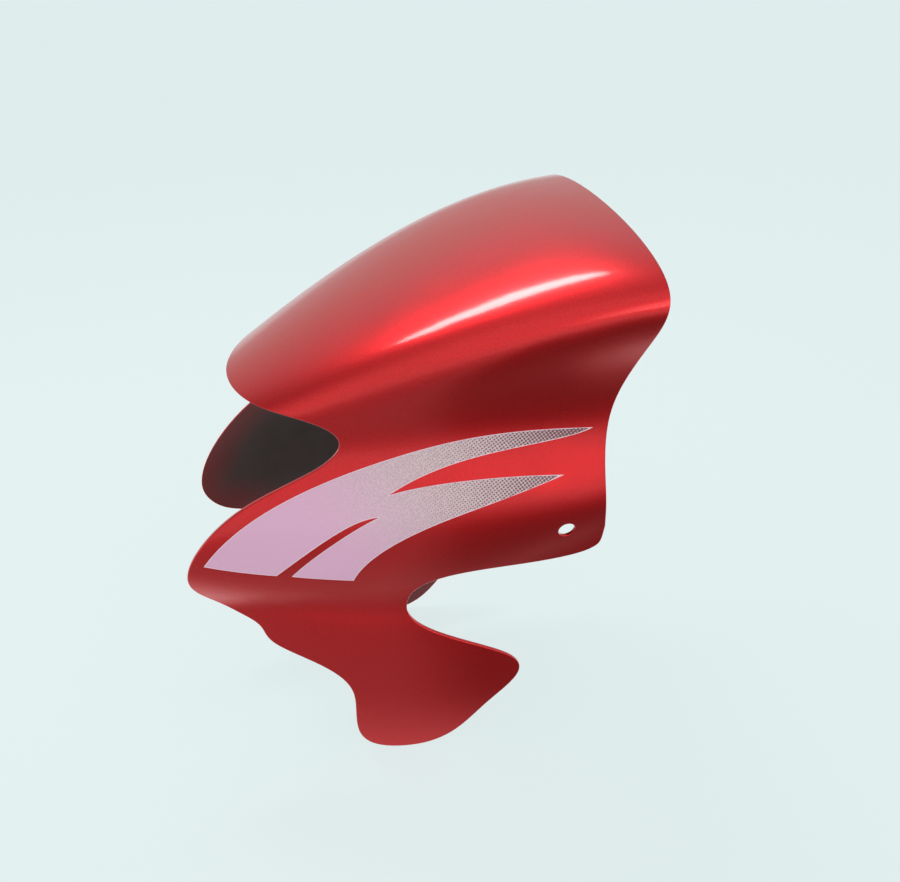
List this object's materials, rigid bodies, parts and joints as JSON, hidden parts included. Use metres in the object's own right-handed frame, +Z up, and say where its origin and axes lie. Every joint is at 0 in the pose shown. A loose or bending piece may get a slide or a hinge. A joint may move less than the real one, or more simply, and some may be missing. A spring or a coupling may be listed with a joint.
{
  "type": "motorbike headlight visor",
  "caption": "Moulded headlight visor of a small motorbike: a swept dome over the lamp with side legs, forward prongs, fixing holes, turn-signal notches and tapering stripes.",
  "frame": {"origin": "on the axis of the fixing holes, midway between the left and the right one", "axes": "+X towards the bike's left side, along the fixing axis; -Y towards the front of the bike; +Z up"},
  "size_m": [0.2614, 0.2631, 0.3518],
  "materials": {
    "red_paint": "moulded plastic with metallic red paint and clear coat outside, plain dark inside",
    "stripe_film": "glossy vinyl film, lilac to silver grey"
  },
  "bodies": {
    "root": {"headlight_visor": "red_paint", "left_stripe_film": "stripe_film", "right_stripe_film": "stripe_film"}
  },
  "joints": []
}
